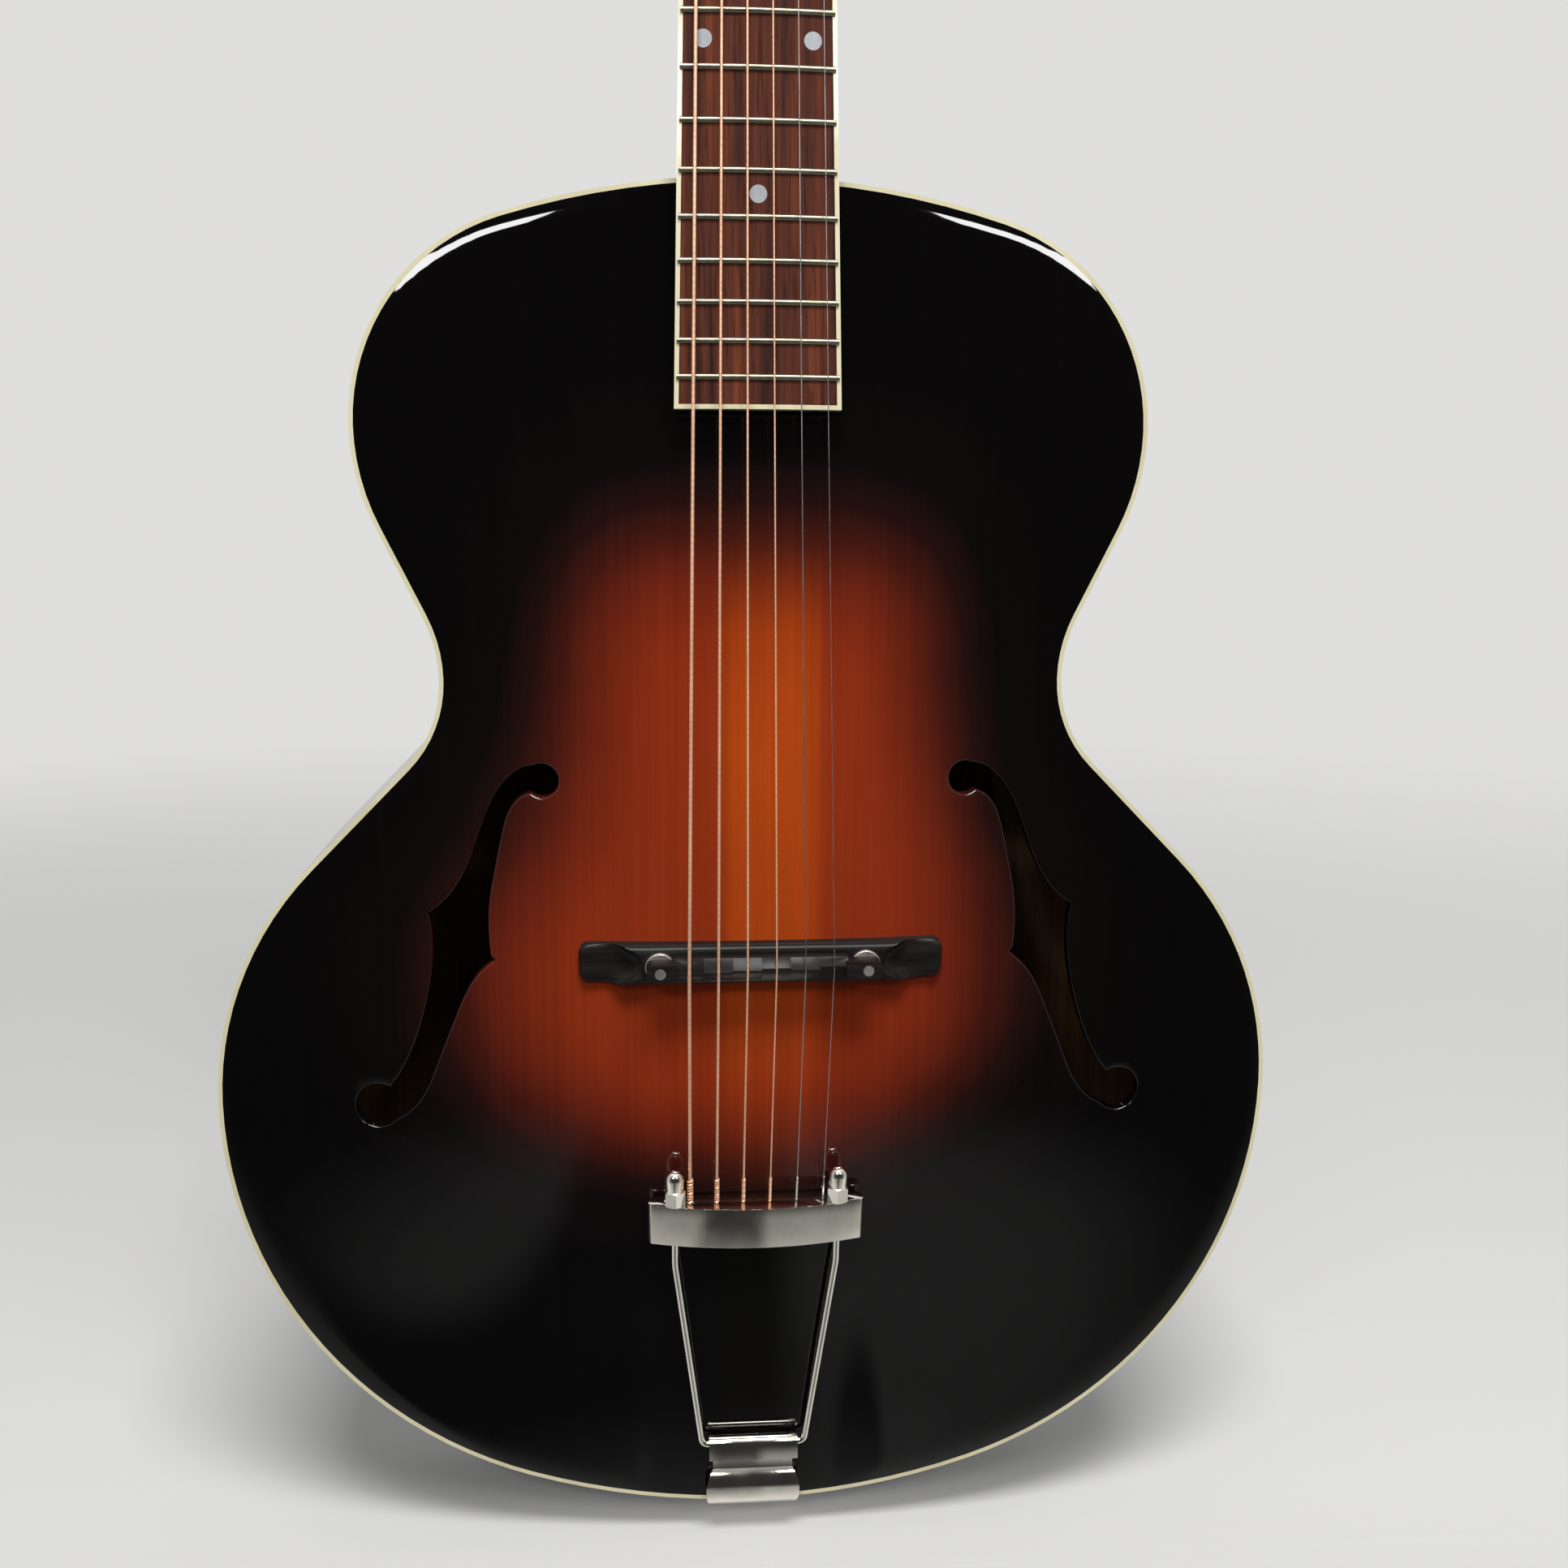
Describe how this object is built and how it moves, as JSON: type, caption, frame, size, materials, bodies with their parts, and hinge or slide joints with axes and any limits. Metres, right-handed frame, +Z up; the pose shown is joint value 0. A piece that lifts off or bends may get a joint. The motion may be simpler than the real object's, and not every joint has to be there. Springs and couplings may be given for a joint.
{
  "type": "archtop guitar",
  "caption": "Hollow archtop guitar with carved top, f-holes, floating adjustable bridge, wire trapeze tailpiece and geared tuners on an angled headstock.",
  "frame": {"origin": "middle of the nut's front edge, on the fretboard surface, where a hanger yoke holds the neck", "axes": "+Z up the neck towards the headstock, the carved top faces -Y, +X is the treble side"},
  "size_m": [0.4054, 0.1341, 1.0405],
  "materials": {
    "sunburst_top": "high gloss sunburst lacquer over carved spruce",
    "dark_lacquer": "high gloss dark brown lacquer",
    "raw_wood": "bare wood",
    "ivory_binding": "aged ivory celluloid",
    "black_plastic": "polished black",
    "steel": "plain steel",
    "brass": "machined brass",
    "rosewood": "oiled open grain",
    "nickel_silver": "polished nickel silver",
    "pearl": "pearl inlay",
    "bone": "polished bone",
    "black_veneer": "gloss black veneer",
    "bronze_winding": "phosphor bronze wire",
    "plain_steel": "drawn steel wire",
    "ebony": "satin ebony",
    "nickel_plate": "polished nickel plate",
    "cream_button": "cream plastic"
  },
  "bodies": {
    "guitar": {"back_binding": "ivory_binding", "back_plate": "dark_lacquer", "bracket_screws": "nickel_plate", "bridge_base": "ebony", "bridge_posts": "nickel_plate", "end_block": "raw_wood", "end_pin": "black_plastic", "fretboard": "rosewood", "fretboard_binding": "ivory_binding", "frets": "nickel_silver", "headstock_veneer": "black_veneer", "heel_cap": "black_plastic", "linings": "raw_wood", "neck": "dark_lacquer", "neck_block": "raw_wood", "nut": "bone", "position_dots": "pearl", "sides": "dark_lacquer", "string_1": "plain_steel", "string_2": "plain_steel", "string_3": "bronze_winding", "string_4": "bronze_winding", "string_5": "bronze_winding", "string_6": "bronze_winding", "tailpiece_bracket": "nickel_plate", "tone_bars": "raw_wood", "top_binding": "ivory_binding", "top_plate": "sunburst_top", "truss_cover_screws": "steel", "truss_rod": "steel", "truss_rod_cover": "black_plastic", "tuner_bushings": "nickel_plate", "tuner_plate_bass": "nickel_plate", "tuner_plate_treble": "nickel_plate", "tuner_screws": "nickel_plate"},
    "saddle": {"bridge_saddle": "ebony"},
    "thumbwheel_bass": {"thumbwheel_bass": "nickel_plate"},
    "thumbwheel_treble": {"thumbwheel_treble": "nickel_plate"},
    "tailpiece": {"tailpiece_bar": "nickel_plate", "tailpiece_wire": "nickel_plate", "acorn_nuts": "nickel_plate"},
    "truss_nut": {"truss_rod_nut": "brass"},
    "tuner_1_button": {"tuner_button_1": "cream_button", "tuner_worm_1": "nickel_plate"},
    "tuner_1_post": {"tuner_post_1": "nickel_plate"},
    "tuner_2_button": {"tuner_button_2": "cream_button", "tuner_worm_2": "nickel_plate"},
    "tuner_2_post": {"tuner_post_2": "nickel_plate"},
    "tuner_3_button": {"tuner_button_3": "cream_button", "tuner_worm_3": "nickel_plate"},
    "tuner_3_post": {"tuner_post_3": "nickel_plate"},
    "tuner_4_button": {"tuner_button_4": "cream_button", "tuner_worm_4": "nickel_plate"},
    "tuner_4_post": {"tuner_post_4": "nickel_plate"},
    "tuner_5_button": {"tuner_button_5": "cream_button", "tuner_worm_5": "nickel_plate"},
    "tuner_5_post": {"tuner_post_5": "nickel_plate"},
    "tuner_6_button": {"tuner_button_6": "cream_button", "tuner_worm_6": "nickel_plate"},
    "tuner_6_post": {"tuner_post_6": "nickel_plate"}
  },
  "joints": [
    {"name": "saddle_height", "type": "slide", "parent": "guitar", "child": "saddle", "axis": [0, -1, 0], "range_m": [-0.0004, 0.003], "deforming": ["string_1", "string_2", "string_3", "string_4", "string_5", "string_6"]},
    {"name": "thumbwheel_bass_turn", "type": "hinge", "parent": "saddle", "child": "thumbwheel_bass", "pos_m": [-0.036, -0.0323, -0.63014], "axis": [0, -1, 0], "range_deg": [-205.72, 1542.86], "deforming": ["string_1", "string_2", "string_3", "string_4", "string_5", "string_6"]},
    {"name": "thumbwheel_treble_turn", "type": "hinge", "parent": "saddle", "child": "thumbwheel_treble", "pos_m": [0.04, -0.0323, -0.63014], "axis": [0, -1, 0], "range_deg": [-205.72, 1542.86], "deforming": ["string_1", "string_2", "string_3", "string_4", "string_5", "string_6"]},
    {"name": "tailpiece_swing", "type": "hinge", "parent": "guitar", "child": "tailpiece", "pos_m": [0, -0.0152, -0.8326], "axis": [1, 0, 0], "range_deg": [-0.1172, 0.8463], "deforming": ["string_1", "string_2", "string_3", "string_4", "string_5", "string_6"]},
    {"name": "truss_nut_turn", "type": "hinge", "parent": "guitar", "child": "truss_nut", "pos_m": [0, 0.01299, 0.00784], "axis": [0, 0.0593, 0.9982], "range_deg": [-180, 180]},
    {"name": "tuner_1_button_turn", "type": "hinge", "parent": "guitar", "child": "tuner_1_button", "pos_m": [0.02, 0.03369, 0.03025], "axis": [1, 0, 0], "continuous": true},
    {"name": "tuner_1_post_turn", "type": "hinge", "parent": "guitar", "child": "tuner_1_post", "pos_m": [0.02, 0.03599, 0.0376], "axis": [0, 0.9542, -0.299], "continuous": true},
    {"name": "tuner_2_button_turn", "type": "hinge", "parent": "guitar", "child": "tuner_2_button", "pos_m": [0.02, 0.04595, 0.06938], "axis": [1, 0, 0], "continuous": true},
    {"name": "tuner_2_post_turn", "type": "hinge", "parent": "guitar", "child": "tuner_2_post", "pos_m": [0.02, 0.04825, 0.07673], "axis": [0, 0.9542, -0.299], "continuous": true},
    {"name": "tuner_3_button_turn", "type": "hinge", "parent": "guitar", "child": "tuner_3_button", "pos_m": [0.02, 0.05821, 0.1085], "axis": [1, 0, 0], "continuous": true},
    {"name": "tuner_3_post_turn", "type": "hinge", "parent": "guitar", "child": "tuner_3_post", "pos_m": [0.02, 0.06051, 0.11585], "axis": [0, 0.9542, -0.299], "continuous": true},
    {"name": "tuner_4_button_turn", "type": "hinge", "parent": "guitar", "child": "tuner_4_button", "pos_m": [-0.02, 0.05821, 0.1085], "axis": [1, 0, 0], "continuous": true},
    {"name": "tuner_4_post_turn", "type": "hinge", "parent": "guitar", "child": "tuner_4_post", "pos_m": [-0.02, 0.06051, 0.11585], "axis": [0, 0.9542, -0.299], "continuous": true},
    {"name": "tuner_5_button_turn", "type": "hinge", "parent": "guitar", "child": "tuner_5_button", "pos_m": [-0.02, 0.04595, 0.06938], "axis": [1, 0, 0], "continuous": true},
    {"name": "tuner_5_post_turn", "type": "hinge", "parent": "guitar", "child": "tuner_5_post", "pos_m": [-0.02, 0.04825, 0.07673], "axis": [0, 0.9542, -0.299], "continuous": true},
    {"name": "tuner_6_button_turn", "type": "hinge", "parent": "guitar", "child": "tuner_6_button", "pos_m": [-0.02, 0.03369, 0.03025], "axis": [1, 0, 0], "continuous": true},
    {"name": "tuner_6_post_turn", "type": "hinge", "parent": "guitar", "child": "tuner_6_post", "pos_m": [-0.02, 0.03599, 0.0376], "axis": [0, 0.9542, -0.299], "continuous": true}
  ],
  "couplings": [
    {"joint": "thumbwheel_bass_turn", "follows": "saddle_height", "rad_per_m": 8976},
    {"joint": "thumbwheel_treble_turn", "follows": "saddle_height", "rad_per_m": 8976},
    {"joint": "tailpiece_swing", "follows": "saddle_height", "rad_per_m": 4.8942},
    {"joint": "tuner_1_post_turn", "follows": "tuner_1_button_turn", "ratio": 0.0625},
    {"joint": "tuner_2_post_turn", "follows": "tuner_2_button_turn", "ratio": 0.0625},
    {"joint": "tuner_3_post_turn", "follows": "tuner_3_button_turn", "ratio": 0.0625},
    {"joint": "tuner_4_post_turn", "follows": "tuner_4_button_turn", "ratio": 0.0625},
    {"joint": "tuner_5_post_turn", "follows": "tuner_5_button_turn", "ratio": 0.0625},
    {"joint": "tuner_6_post_turn", "follows": "tuner_6_button_turn", "ratio": 0.0625}
  ]
}
